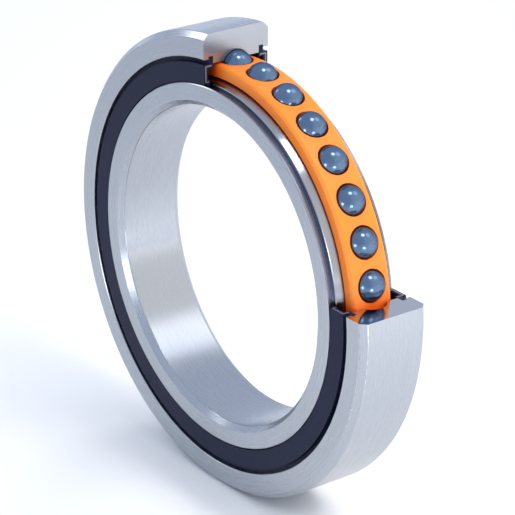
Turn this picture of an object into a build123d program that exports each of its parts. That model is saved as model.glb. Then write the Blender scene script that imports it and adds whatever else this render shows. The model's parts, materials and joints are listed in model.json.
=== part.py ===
"""Sealed single-row angular contact ball bearing, 55 x 80 x 13 mm, sectioned for display.

The bearing stands upright with its axis along Y. Its front face is at -Y and the origin is
the centre of the bore at mid-width. A sector of the outer ring and of both seals is cut away,
between an upright plane near the top and a level plane just above the axis on the +X side.
Profiles are half sections drawn in the XY plane, where X is the radius and Y runs along the
axis, and are revolved about Y.
"""

import os
from math import cos, radians, sin, sqrt

from build123d import *

os.makedirs("parts", exist_ok=True)

# Boundary dimensions
BORE_RADIUS = 27.5
OUTER_RADIUS = 40.0
WIDTH = 13.0
HALF_WIDTH = WIDTH / 2
BORE_CHAMFER = 1.0
OUTER_CHAMFER = 1.0
CHAMFER_BLEND = 0.3
EDGE_BREAK = 0.12

# Ball set
BALL_COUNT = 31
BALL_RADIUS = 5.159 / 2
PITCH_RADIUS = (BORE_RADIUS + OUTER_RADIUS) / 2
FIRST_BALL_ANGLE = -2.8
BALL_ANGLES = [FIRST_BALL_ANGLE + number * 360 / BALL_COUNT for number in range(BALL_COUNT)]

# Raceways and shoulders
GROOVE_RADIUS = 0.52 * 2 * BALL_RADIUS
OUTER_SHOULDER_RADIUS = 34.9
INNER_SHOULDER_RADIUS = 32.0
RELIEF_RADIUS = 31.35

# Seal seats: a rim, a lip groove and a tapered land on the inner ring, a snap groove outside
INNER_RIM_RADIUS = 31.3
INNER_RIM_END = 0.55
LIP_GROOVE_RADIUS = 30.75
LIP_GROOVE_END = 1.45
INNER_LAND_RADIUS = 31.55
INNER_LAND_END = 2.9
OUTER_SEAT_RADIUS = 35.7
OUTER_SEAT_DEPTH = 1.0
SNAP_GROOVE_RADIUS = 36.15
SNAP_GROOVE_END = 1.9

# Seals: rubber moulded round a C-shaped sheet steel insert
SEAL_RECESS = 0.1
SEAL_FACE_INNER_RADIUS = 31.5
SEAL_FACE_OUTER_RADIUS = 34.85
SEAL_LIP_RADIUS = 31.0
LIP_START = 0.75
LIP_END = 1.1
WEB_END = 0.95
RIB_OUTER_RADIUS = 32.2
RIB_END = 1.3
BEAD_INNER_RADIUS = 34.15
BEAD_OUTER_RADIUS = 36.1
INSERT_THICKNESS = 0.3
INSERT_START = 0.3
INSERT_INNER_RADIUS = 31.75
INSERT_OUTER_RADIUS = 34.7
INSERT_INNER_END = 1.1
INSERT_OUTER_END = 1.65
INSERT_BEND = 0.28

# Cage
CAGE_OUTER_RADIUS = 34.55
CAGE_INNER_RADIUS = 32.3
CAGE_WIDTH = 7.72
CAGE_OUTER_ROUND = 0.7
CAGE_INNER_ROUND = 0.2
POCKET_RADIUS = BALL_RADIUS + 0.17
POCKET_CHAMFER = 0.2

# Display cut: everything of the outer ring and seals past both planes is removed
CUT_X = -1.95
CUT_Z = 3.9

FRONT = -1
REAR = 1


def axial(side, depth):
    """Y coordinate at a depth below the front or the rear face."""
    return side * (HALF_WIDTH - depth)


def groove_half_width(radius):
    """Half width of the raceway groove where it meets a shoulder of this radius."""
    return sqrt(GROOVE_RADIUS**2 - (PITCH_RADIUS - radius) ** 2)


def radial_point(angle, radius):
    """Point at mid-width, at an angle clockwise from the top as seen from the front."""
    return (radius * sin(radians(angle)), 0, radius * cos(radians(angle)))


def seal_outline(side):
    """Closed outline of one seal, from its inner lip round the rim bead to its inner rib."""
    return [
        (SEAL_LIP_RADIUS, axial(side, LIP_START)),
        (SEAL_FACE_INNER_RADIUS, axial(side, LIP_START)),
        (SEAL_FACE_INNER_RADIUS, axial(side, SEAL_RECESS)),
        (SEAL_FACE_OUTER_RADIUS, axial(side, SEAL_RECESS)),
        (SEAL_FACE_OUTER_RADIUS, axial(side, OUTER_SEAT_DEPTH)),
        (BEAD_OUTER_RADIUS, axial(side, OUTER_SEAT_DEPTH)),
        (BEAD_OUTER_RADIUS, axial(side, SNAP_GROOVE_END)),
        (BEAD_INNER_RADIUS, axial(side, SNAP_GROOVE_END)),
        (BEAD_INNER_RADIUS, axial(side, WEB_END)),
        (RIB_OUTER_RADIUS, axial(side, WEB_END)),
        (RIB_OUTER_RADIUS, axial(side, RIB_END)),
        (SEAL_FACE_INNER_RADIUS, axial(side, RIB_END)),
        (SEAL_LIP_RADIUS, axial(side, LIP_END)),
    ]


def insert_outline(side):
    """Closed outline of the sheet steel insert: a flat web with both edges bent inwards."""
    web_back = INSERT_START + INSERT_THICKNESS
    return [
        (INSERT_INNER_RADIUS, axial(side, INSERT_START)),
        (INSERT_OUTER_RADIUS, axial(side, INSERT_START)),
        (INSERT_OUTER_RADIUS, axial(side, INSERT_OUTER_END)),
        (INSERT_OUTER_RADIUS - INSERT_THICKNESS, axial(side, INSERT_OUTER_END)),
        (INSERT_OUTER_RADIUS - INSERT_THICKNESS, axial(side, web_back)),
        (INSERT_INNER_RADIUS + INSERT_THICKNESS, axial(side, web_back)),
        (INSERT_INNER_RADIUS + INSERT_THICKNESS, axial(side, INSERT_INNER_END)),
        (INSERT_INNER_RADIUS, axial(side, INSERT_INNER_END)),
    ]


def insert_section(side):
    """Section of the insert, with its two outer bends rounded."""
    with BuildSketch() as section:
        with BuildLine():
            Polyline(*insert_outline(side), close=True)
        make_face()
        web_face = axial(side, INSERT_START)
        bends = section.vertices().filter_by(lambda v: abs(v.Y - web_face) < 1e-6)
        fillet(bends, INSERT_BEND)
    return section.sketch


def remove_display_sector():
    """Cut the display sector out of the sub-part that is being built."""
    with BuildSketch(Plane.XZ) as sector:
        with Locations((CUT_X, CUT_Z)):
            Rectangle(2 * OUTER_RADIUS, 2 * OUTER_RADIUS, align=(Align.MIN, Align.MIN))
    extrude(sector.sketch, amount=WIDTH, both=True, mode=Mode.SUBTRACT)


def save(builder, name):
    """Label a finished sub-part and write it to its own STEP file."""
    builder.part.label = name
    export_step(builder.part, f"parts/{name}.step")


# Outer ring: ground outside, raceway between two full shoulders, snap grooves for the seals
with BuildPart() as outer_ring:
    with BuildSketch() as outer_section:
        with BuildLine():
            Polyline(
                (OUTER_RADIUS, axial(FRONT, 0)),
                (OUTER_RADIUS, axial(REAR, 0)),
                (OUTER_SEAT_RADIUS, axial(REAR, 0)),
                (OUTER_SEAT_RADIUS, axial(REAR, OUTER_SEAT_DEPTH)),
                (SNAP_GROOVE_RADIUS, axial(REAR, OUTER_SEAT_DEPTH)),
                (SNAP_GROOVE_RADIUS, axial(REAR, SNAP_GROOVE_END)),
                (OUTER_SHOULDER_RADIUS, axial(REAR, SNAP_GROOVE_END)),
                (OUTER_SHOULDER_RADIUS, axial(FRONT, SNAP_GROOVE_END)),
                (SNAP_GROOVE_RADIUS, axial(FRONT, SNAP_GROOVE_END)),
                (SNAP_GROOVE_RADIUS, axial(FRONT, OUTER_SEAT_DEPTH)),
                (OUTER_SEAT_RADIUS, axial(FRONT, OUTER_SEAT_DEPTH)),
                (OUTER_SEAT_RADIUS, axial(FRONT, 0)),
                close=True,
            )
        make_face()
        chamfer(outer_section.vertices().group_by(Axis.X)[-1], OUTER_CHAMFER)
        corner = OUTER_RADIUS - OUTER_CHAMFER
        fillet(outer_section.vertices().filter_by(lambda v: v.X > corner - 0.01), CHAMFER_BLEND)
        seat_edges = outer_section.vertices().filter_by(
            lambda v: abs(v.X - OUTER_SEAT_RADIUS) < 0.01 and abs(v.Y) > HALF_WIDTH - 0.01
        )
        chamfer(seat_edges, EDGE_BREAK)
        with Locations((PITCH_RADIUS, 0)):
            Circle(GROOVE_RADIUS, mode=Mode.SUBTRACT)
    revolve(axis=Axis.Y)
    remove_display_sector()
save(outer_ring, "outer_ring")

# Inner ring: its front shoulder is relieved, so the balls bear on the rear shoulder
with BuildPart() as inner_ring:
    with BuildSketch() as inner_section:
        with BuildLine():
            Polyline(
                (BORE_RADIUS, axial(FRONT, 0)),
                (INNER_RIM_RADIUS, axial(FRONT, 0)),
                (INNER_RIM_RADIUS, axial(FRONT, INNER_RIM_END)),
                (LIP_GROOVE_RADIUS, axial(FRONT, INNER_RIM_END)),
                (LIP_GROOVE_RADIUS, axial(FRONT, LIP_GROOVE_END)),
                (INNER_LAND_RADIUS, axial(FRONT, LIP_GROOVE_END)),
                (INNER_SHOULDER_RADIUS, axial(FRONT, INNER_LAND_END)),
                (RELIEF_RADIUS, -groove_half_width(RELIEF_RADIUS)),
                (RELIEF_RADIUS, 0),
                (INNER_SHOULDER_RADIUS, 0),
                (INNER_SHOULDER_RADIUS, axial(REAR, INNER_LAND_END)),
                (INNER_LAND_RADIUS, axial(REAR, LIP_GROOVE_END)),
                (LIP_GROOVE_RADIUS, axial(REAR, LIP_GROOVE_END)),
                (LIP_GROOVE_RADIUS, axial(REAR, INNER_RIM_END)),
                (INNER_RIM_RADIUS, axial(REAR, INNER_RIM_END)),
                (INNER_RIM_RADIUS, axial(REAR, 0)),
                (BORE_RADIUS, axial(REAR, 0)),
                close=True,
            )
        make_face()
        chamfer(inner_section.vertices().group_by(Axis.X)[0], BORE_CHAMFER)
        bore_corner = BORE_RADIUS + BORE_CHAMFER
        fillet(
            inner_section.vertices().filter_by(lambda v: v.X < bore_corner + 0.01),
            CHAMFER_BLEND,
        )
        sharp_edges = inner_section.vertices().filter_by(
            lambda v: abs(v.X - INNER_RIM_RADIUS) < 0.01 or abs(v.X - INNER_LAND_RADIUS) < 0.01
        )
        chamfer(sharp_edges, EDGE_BREAK)
        with Locations((PITCH_RADIUS, 0)):
            Circle(GROOVE_RADIUS, mode=Mode.SUBTRACT)
    revolve(axis=Axis.Y)
save(inner_ring, "inner_ring")

# Cage: a one-piece ring with a round radial pocket for each ball, its outer rims eased
bar_angle = FIRST_BALL_ANGLE + 180 / BALL_COUNT
bar_plane = Plane(
    origin=(0, 0, 0),
    x_dir=radial_point(bar_angle, 1),
    z_dir=radial_point(bar_angle - 90, 1),
)
with BuildPart() as cage:
    with BuildSketch(bar_plane) as cage_section:
        with Locations(((CAGE_OUTER_RADIUS + CAGE_INNER_RADIUS) / 2, 0)):
            Rectangle(CAGE_OUTER_RADIUS - CAGE_INNER_RADIUS, CAGE_WIDTH)
        fillet(cage_section.vertices().group_by(Axis.X)[-1], CAGE_OUTER_ROUND)
        fillet(cage_section.vertices().group_by(Axis.X)[0], CAGE_INNER_ROUND)
    revolve(axis=Axis.Y)
    pocket_mouths = [
        Plane(
            origin=radial_point(angle, CAGE_OUTER_RADIUS),
            x_dir=(0, 1, 0),
            z_dir=radial_point(angle, 1),
        )
        for angle in BALL_ANGLES
    ]
    with Locations(*pocket_mouths):
        Cylinder(
            radius=POCKET_RADIUS,
            height=2 * (CAGE_OUTER_RADIUS - CAGE_INNER_RADIUS),
            align=(Align.CENTER, Align.CENTER, Align.MAX),
            mode=Mode.SUBTRACT,
        )
    pocket_rims = (
        cage.faces()
        .filter_by(GeomType.CYLINDER)
        .sort_by(SortBy.AREA)[-1]
        .edges()
        .filter_by(GeomType.BSPLINE)
    )
    chamfer(pocket_rims, POCKET_CHAMFER)
save(cage, "cage")

# Balls: one node each, numbered clockwise from the top as seen from the front
for number, angle in enumerate(BALL_ANGLES, start=1):
    with BuildPart() as ball:
        with Locations(radial_point(angle, PITCH_RADIUS)):
            Sphere(BALL_RADIUS)
    save(ball, f"ball_{number:02d}")

# Seals: a rubber body and the steel insert that it is moulded round, at each face
for side, place in ((FRONT, "front"), (REAR, "rear")):
    with BuildPart() as seal_rubber:
        with BuildSketch():
            with BuildLine():
                Polyline(*seal_outline(side), close=True)
            make_face()
            add(insert_section(side), mode=Mode.SUBTRACT)
        revolve(axis=Axis.Y)
        remove_display_sector()
    save(seal_rubber, f"{place}_seal_rubber")

    with BuildPart() as seal_insert:
        with BuildSketch():
            add(insert_section(side))
        revolve(axis=Axis.Y)
        remove_display_sector()
    save(seal_insert, f"{place}_seal_insert")
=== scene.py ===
"""Looks for the sectioned angular contact bearing: materials, floor, studio lights and camera."""

import json
from math import cos, radians, sin

import bpy
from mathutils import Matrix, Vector


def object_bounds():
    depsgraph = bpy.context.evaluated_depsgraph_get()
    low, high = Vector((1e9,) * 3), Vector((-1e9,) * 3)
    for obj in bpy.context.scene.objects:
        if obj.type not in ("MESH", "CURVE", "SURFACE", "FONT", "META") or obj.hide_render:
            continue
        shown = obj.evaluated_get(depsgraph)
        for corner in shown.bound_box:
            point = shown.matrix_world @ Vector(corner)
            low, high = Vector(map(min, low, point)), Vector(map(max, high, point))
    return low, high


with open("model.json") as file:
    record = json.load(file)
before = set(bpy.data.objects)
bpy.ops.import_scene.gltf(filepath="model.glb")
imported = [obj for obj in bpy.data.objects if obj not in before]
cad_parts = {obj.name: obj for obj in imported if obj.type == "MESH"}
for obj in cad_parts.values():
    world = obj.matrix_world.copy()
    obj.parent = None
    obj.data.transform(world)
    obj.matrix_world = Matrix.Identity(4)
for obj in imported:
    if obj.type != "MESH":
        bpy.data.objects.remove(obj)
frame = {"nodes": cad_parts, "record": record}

CAD_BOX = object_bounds()

MM = 0.001

# Camera: to the right of the bearing's front and above it
CAMERA_AZIMUTH = 53.284
CAMERA_ELEVATION = 23.015
CAMERA_DISTANCE = 381.49 * MM
CAMERA_LENS = 174.8
SENSOR_WIDTH = 36
CAMERA_AIM = (29.026 * MM, -18.738 * MM, 14.846 * MM)

# The two flat faces of the display cut, and how far off them a point still counts as on them
CUT_X = -1.95 * MM
CUT_Z = 3.9 * MM
CUT_TOLERANCE = 0.03 * MM
SQUARE_ON = 0.9

# Places on the rings, as radius or depth from mid-width, each with its half spread
LAND_RADIUS, LAND_SPREAD = 31.75 * MM, 0.3 * MM
# The seal-lip groove, where the steel is coloured darker as painted shade
GROOVE_RADIUS, GROOVE_RADIUS_SPREAD = 31.2 * MM, 0.5 * MM
GROOVE_PLACE, GROOVE_PLACE_SPREAD = 5.7 * MM, 0.68 * MM

# How much faster the lay changes along the axis than outwards. At 1, some of the 45 degree
# chamfers would have no lines across them
LAY_SKEW = 1.7


def direction(azimuth, elevation):
    """Unit vector towards a view direction: azimuth 0 is the front, 90 is the +X side."""
    a, e = radians(azimuth), radians(elevation)
    return Vector((sin(a) * cos(e), -cos(a) * cos(e), sin(e)))


def aim(item, place, target):
    """Stand an object at a place with its -Z axis towards the target and no roll."""
    item.location = place
    item.rotation_euler = (Vector(target) - Vector(place)).to_track_quat("-Z", "Y").to_euler()


def add_camera():
    """The photographer's camera."""
    data = bpy.data.cameras.new("camera")
    data.lens = CAMERA_LENS
    data.sensor_width = SENSOR_WIDTH
    camera = bpy.data.objects.new("camera", data)
    bpy.context.scene.collection.objects.link(camera)
    back = direction(CAMERA_AZIMUTH, CAMERA_ELEVATION)
    aim(camera, Vector(CAMERA_AIM) + CAMERA_DISTANCE * back, CAMERA_AIM)
    bpy.context.scene.camera = camera


# ---------------------------------------------------------------- node helpers


class Material:
    """A node material being built: its tree, its principled shader and short ways to add nodes."""

    def __init__(self, name):
        self.data = bpy.data.materials.new(name)
        self.data.use_nodes = True
        self.nodes = self.data.node_tree.nodes
        self.links = self.data.node_tree.links
        self.shader = self.nodes["Principled BSDF"]

    def link(self, source, target):
        """Feed a socket from another socket, or set it to a plain value."""
        if isinstance(source, bpy.types.NodeSocket):
            self.links.new(source, target)
        else:
            target.default_value = source

    def set(self, **values):
        """Set or feed inputs of the shader, with underscores for the spaces in their names."""
        for key, value in values.items():
            self.link(value, self.shader.inputs[key.replace("_", " ")])

    def math(self, operation, a, b=0.0):
        node = self.nodes.new("ShaderNodeMath")
        node.operation = operation
        self.link(a, node.inputs[0])
        self.link(b, node.inputs[1])
        return node.outputs[0]

    def position(self):
        """The shaded point in the bearing's frame, which turns with its body: vector, and X, Y, Z."""
        coordinates = self.nodes.new("ShaderNodeTexCoord")
        separate = self.nodes.new("ShaderNodeSeparateXYZ")
        self.links.new(coordinates.outputs["Object"], separate.inputs[0])
        return coordinates.outputs["Object"], separate.outputs

    def combine(self, x, y, z):
        node = self.nodes.new("ShaderNodeCombineXYZ")
        for source, target in zip((x, y, z), node.inputs):
            self.link(source, target)
        return node.outputs[0]

    def noise(self, vector, scale, detail=2.0, roughness=0.5):
        node = self.nodes.new("ShaderNodeTexNoise")
        self.link(vector, node.inputs["Vector"])
        node.inputs["Scale"].default_value = scale
        node.inputs["Detail"].default_value = detail
        node.inputs["Roughness"].default_value = roughness
        return node.outputs["Fac"]

    def remap(self, value, low, high, new_low, new_high):
        """A value's range from low to high, stretched to a new range and held at its ends."""
        node = self.nodes.new("ShaderNodeMapRange")
        self.link(value, node.inputs["Value"])
        for name, number in (
            ("From Min", low), ("From Max", high), ("To Min", new_low), ("To Max", new_high),
        ):
            self.link(number, node.inputs[name])
        return node.outputs["Result"]

    def mix(self, factor, a, b):
        """Blend of two colours."""
        node = self.nodes.new("ShaderNodeMix")
        node.data_type = "RGBA"
        self.link(factor, node.inputs["Factor"])
        self.link(a, node.inputs[6])
        self.link(b, node.inputs[7])
        return node.outputs[2]

    def bump(self, height, distance, strength=1.0):
        node = self.nodes.new("ShaderNodeBump")
        node.inputs["Strength"].default_value = strength
        node.inputs["Distance"].default_value = distance
        self.link(height, node.inputs["Height"])
        return node.outputs["Normal"]


def polar(material):
    """Radius, axial place and the unit direction of the point about the bearing's axis."""
    vector, (x, y, z) = material.position()
    squares = material.math("ADD", material.math("MULTIPLY", x, x), material.math("MULTIPLY", z, z))
    radius = material.math("SQRT", squares)
    return radius, y, material.math("DIVIDE", x, radius), material.math("DIVIDE", z, radius)


def turned_lay(material, pitch, wander):
    """Fine lines that run round the bearing's axis, a pitch apart, broken up along their length."""
    radius, y, across, up = polar(material)
    along = material.math("MULTIPLY", y, LAY_SKEW)
    lines = material.math("MULTIPLY", material.math("ADD", radius, along), 1 / pitch)
    vector = material.combine(
        lines, material.math("MULTIPLY", across, wander), material.math("MULTIPLY", up, wander)
    )
    return material.noise(vector, 1.0, detail=3.0, roughness=0.6)


def near(material, value, centre, spread):
    """1 where a value is within a spread of its centre, 0 elsewhere."""
    result = material.math("COMPARE", value, centre)
    result.node.inputs[2].default_value = spread
    return result


def cut_masks(material):
    """1 on the upright and on the level face of the display cut, 0 elsewhere."""
    coordinates = material.nodes.new("ShaderNodeTexCoord")
    facing = material.nodes.new("ShaderNodeSeparateXYZ")
    material.links.new(coordinates.outputs["Normal"], facing.inputs[0])
    _, place = material.position()
    masks = []
    for axis, level in ((0, CUT_X), (2, CUT_Z)):
        on_plane = near(material, place[axis], level, CUT_TOLERANCE)
        square_on = material.math("GREATER_THAN", facing.outputs[axis], SQUARE_ON)
        masks.append(material.math("MULTIPLY", on_plane, square_on))
    return masks


def ring_steel():
    """Ground bearing steel: circular lay, polished seal lands and display cut, lip grooves darkened
    with painted shade, level cut face painted lighter.
    """
    m = Material("ring_steel")
    upright, level = cut_masks(m)
    radius, along, _, _ = polar(m)
    depth = m.math("ABSOLUTE", along)
    land = near(m, radius, LAND_RADIUS, LAND_SPREAD)
    groove_shade_mask = m.math(
        "MULTIPLY",
        near(m, radius, GROOVE_RADIUS, GROOVE_RADIUS_SPREAD),
        near(m, depth, GROOVE_PLACE, GROOVE_PLACE_SPREAD),
    )
    smooth = m.math("MAXIMUM", m.math("MAXIMUM", upright, level), land)

    fine = turned_lay(m, 0.07 * MM, 9.0)
    broad = turned_lay(m, 0.5 * MM, 3.0)
    lay = m.math("ADD", m.math("MULTIPLY", fine, 0.6), m.math("MULTIPLY", broad, 0.4))

    ground_colour = m.mix(broad, (0.398, 0.422, 0.467, 1), (0.441, 0.466, 0.507, 1))
    # Painted light: the level, upward-facing cut face is coloured lighter than the upright cut face
    # and the lands
    smooth_colour = m.mix(level, (0.38, 0.388, 0.41, 1), (0.475, 0.485, 0.51, 1))
    # Painted shade: the seal-lip grooves are coloured darker than the rest of the steel
    groove_shade_colour = (0.26, 0.28, 0.35, 1)

    ground_roughness = m.remap(lay, 0.3, 0.7, 0.20, 0.32)
    smooth_roughness = m.remap(upright, 0, 1, m.remap(level, 0, 1, 0.20, 0.13), 0.32)

    lay_height = m.math("MULTIPLY", lay, m.math("SUBTRACT", 1.0, smooth))
    m.set(
        Base_Color=m.mix(groove_shade_mask, m.mix(smooth, ground_colour, smooth_colour), groove_shade_colour),
        Metallic=1.0,
        Anisotropic=0.7,
        Anisotropic_Rotation=0.25,
        Roughness=m.remap(smooth, 0, 1, ground_roughness, smooth_roughness),
        Normal=m.bump(lay_height, 0.003 * MM),
    )
    tangent = m.nodes.new("ShaderNodeTangent")
    tangent.direction_type = "RADIAL"
    tangent.axis = "Y"
    m.link(tangent.outputs[0], m.shader.inputs["Tangent"])
    return m.data


def seal_rubber():
    """Dark blue-black moulded nitrile rubber."""
    m = Material("seal_rubber")
    vector, _ = m.position()
    speckle = m.noise(vector, 1 / (0.25 * MM), detail=4.0, roughness=0.65)
    rings = turned_lay(m, 0.3 * MM, 1.5)
    m.set(
        Base_Color=m.mix(speckle, (0.005, 0.0075, 0.028, 1), (0.010, 0.0135, 0.040, 1)),
        Specular_IOR_Level=0.16,
        Roughness=m.remap(speckle, 0.3, 0.7, 0.42, 0.55),
        Normal=m.bump(m.math("ADD", speckle, rings), 0.01 * MM, 0.5),
    )
    return m.data


def seal_steel():
    """Pressed sheet steel with a dull grain, seen where the display cut shows its edge."""
    m = Material("seal_steel")
    vector, _ = m.position()
    grain = m.noise(vector, 1 / (0.12 * MM))
    m.set(
        Base_Color=m.mix(grain, (0.18, 0.185, 0.205, 1), (0.24, 0.25, 0.27, 1)),
        Metallic=0.6,
        Roughness=m.remap(grain, 0.3, 0.7, 0.48, 0.62),
    )
    return m.data


def cage_resin():
    """Orange phenolic resin with tool lines and flecks of its fabric, with painted shade: a deeper
    red in enclosed places.
    """
    m = Material("cage_resin")
    vector, _ = m.position()
    flecks = m.noise(vector, 1 / (0.35 * MM), detail=5.0, roughness=0.7)
    tool = turned_lay(m, 0.16 * MM, 2.0)
    orange = m.mix(flecks, (0.90, 0.22, 0.010, 1), (1.0, 0.30, 0.022, 1))
    # Painted shade: where the ambient occlusion finds nearby surfaces, the orange is blended to a
    # deeper red
    shade_occlusion = m.nodes.new("ShaderNodeAmbientOcclusion")
    shade_occlusion.inputs["Distance"].default_value = 3 * MM
    painted_shade_fade = m.remap(shade_occlusion.outputs["AO"], 0.35, 1.0, 0, 1)
    m.set(
        Base_Color=m.mix(painted_shade_fade, (0.92, 0.10, 0.008, 1), orange),
        Roughness=m.remap(tool, 0.3, 0.7, 0.36, 0.48),
        Normal=m.bump(m.math("ADD", flecks, tool), 0.008 * MM, 0.6),
    )
    return m.data


def ball_ceramic():
    """Lapped silicon nitride: slate blue and nearly mirror smooth, with a faint clouding."""
    m = Material("ball_ceramic")
    vector, _ = m.position()
    cloud = m.noise(vector, 1 / (0.8 * MM), detail=4.0)
    m.set(
        Base_Color=m.mix(cloud, (0.10, 0.165, 0.27, 1), (0.14, 0.21, 0.33, 1)),
        Metallic=0.85,
        Specular_Tint=(0.35, 0.42, 0.52, 1),
        Roughness=m.remap(cloud, 0.3, 0.7, 0.13, 0.19),
    )
    return m.data


def dress_nodes():
    """Give every CAD node the material of its slot in the record."""
    finishes = {
        "ring_steel": ring_steel(),
        "seal_rubber": seal_rubber(),
        "seal_steel": seal_steel(),
        "cage_resin": cage_resin(),
        "ball_ceramic": ball_ceramic(),
    }
    for part in frame["record"]["subparts"]:
        mesh = frame["nodes"][part["node"]].data
        mesh.materials.clear()
        mesh.materials.append(finishes[part["material_slot"]])


# ---------------------------------------------------------------- studio

FLOOR_LEVEL = CAD_BOX[0][2]
FLOOR_REACH = 6.0

# Round lamps that face the bearing: name, azimuth, elevation, distance, diameter, power
SOFTBOXES = (
    ("overhead_softbox", 92, 75, 0.9, 0.32, 1.7),
    ("front_softbox", 16, 1, 0.24, 0.07, 0.08),
    ("side_softbox", 75, -9, 0.17, 0.05, 0.04),
    ("left_softbox", -70, 32.6, 0.325, 0.08, 0.06),
)

# Spots on the floor: name, place, X and Y they are aimed at, cone angle, power, colour
FLOOR_SPOTS = (
    ("right_floor_spot", (0.42, 0.10, 0.46), (0.11, 0.06), 48, 11.2, (1.0, 0.91, 0.78)),
    ("far_floor_spot", (0.42, 0.42, 0.55), (0.23, 0.185), 32, 21, (1, 1, 1)),
    ("distant_floor_spot", (1.0, 0.8, 1.2), (0.72, 0.48), 50, 95, (1, 1, 1)),
    ("far_front_floor_spot", (0.30, -0.60, 0.70), (0.12, -0.21), 26, 16, (1, 1, 1)),
    ("front_floor_spot", (0.05, -0.35, 0.4), (0.045, -0.095), 12, 6, (1, 1, 1)),
    ("back_floor_spot", (-0.4, 0.5, 0.7), (-0.20, 0.15), 42, 11, (1.0, 0.94, 0.84)),
)
SPOT_SOFTNESS = 0.16


def add_floor():
    """A plain pale floor at the bearing's lowest line."""
    signs = ((-1, -1), (1, -1), (1, 1), (-1, 1))
    corners = [(x * FLOOR_REACH, y * FLOOR_REACH, FLOOR_LEVEL) for x, y in signs]
    mesh = bpy.data.meshes.new("floor")
    mesh.from_pydata(corners, [], [(0, 1, 2, 3)])
    floor = bpy.data.objects.new("floor", mesh)
    bpy.context.scene.collection.objects.link(floor)
    m = Material("floor_paper")
    m.set(Base_Color=(0.82, 0.83, 0.845, 1), Roughness=0.9)
    mesh.materials.append(m.data)


def add_softbox(name, azimuth, elevation, distance, size, power):
    """A round lamp that faces the bearing and shows only as a highlight."""
    data = bpy.data.lights.new(name, "AREA")
    data.shape = "DISK"
    data.size = size
    data.energy = power
    lamp = bpy.data.objects.new(name, data)
    lamp.visible_diffuse = False
    bpy.context.scene.collection.objects.link(lamp)
    aim(lamp, distance * direction(azimuth, elevation), (0, 0, 0))


def add_floor_spot(name, place, target, angle, power, colour):
    """A soft spot that brightens a patch of floor, kept out of the reflections in the bearing."""
    data = bpy.data.lights.new(name, "SPOT")
    data.energy = power
    data.color = colour
    data.spot_size = radians(angle)
    data.spot_blend = 1.0
    data.shadow_soft_size = SPOT_SOFTNESS
    lamp = bpy.data.objects.new(name, data)
    lamp.visible_glossy = False
    bpy.context.scene.collection.objects.link(lamp)
    aim(lamp, place, (*target, FLOOR_LEVEL))


def add_surround():
    """Pale blue, whiter towards the back right, brighter along the horizon and in one high patch."""
    world = bpy.data.worlds.new("surround")
    world.use_nodes = True
    nodes, links = world.node_tree.nodes, world.node_tree.links
    background = nodes["Background"]
    coordinates = nodes.new("ShaderNodeTexCoord")

    def fade(vector, low, high, start, end):
        """From start to end as the view direction swings round towards a vector."""
        towards = nodes.new("ShaderNodeVectorMath")
        towards.operation = "DOT_PRODUCT"
        towards.inputs[1].default_value = vector
        links.new(coordinates.outputs["Generated"], towards.inputs[0])
        node = nodes.new("ShaderNodeMapRange")
        node.interpolation_type = "SMOOTHSTEP"
        links.new(towards.outputs["Value"], node.inputs["Value"])
        for name, number in (
            ("From Min", low), ("From Max", high), ("To Min", start), ("To Max", end),
        ):
            node.inputs[name].default_value = number
        return node.outputs["Result"]

    low_right, high_right, up = direction(127, 15), direction(149, 53), (0, 0, 1)
    shade = nodes.new("ShaderNodeMix")
    shade.data_type = "RGBA"
    links.new(fade(low_right, 0.35, 0.95, 0, 1), shade.inputs["Factor"])
    shade.inputs[6].default_value = (0.69, 0.77, 0.93, 1)
    shade.inputs[7].default_value = (1.20, 1.20, 1.20, 1)
    links.new(shade.outputs[2], background.inputs["Color"])
    glow = nodes.new("ShaderNodeMath")
    links.new(fade(up, 0.0, 0.15, 1.6, 1.0), glow.inputs[0])
    links.new(fade(high_right, 0.955, 0.992, 0.0, 1.3), glow.inputs[1])
    links.new(glow.outputs[0], background.inputs["Strength"])
    bpy.context.scene.world = world


def add_lights():
    """The softboxes, the floor spots and the surround, shown with plain display colours."""
    for softbox in SOFTBOXES:
        add_softbox(*softbox)
    for spot in FLOOR_SPOTS:
        add_floor_spot(*spot)
    add_surround()
    bpy.context.scene.view_settings.view_transform = "Standard"


add_camera()
dress_nodes()
add_floor()
add_lights()
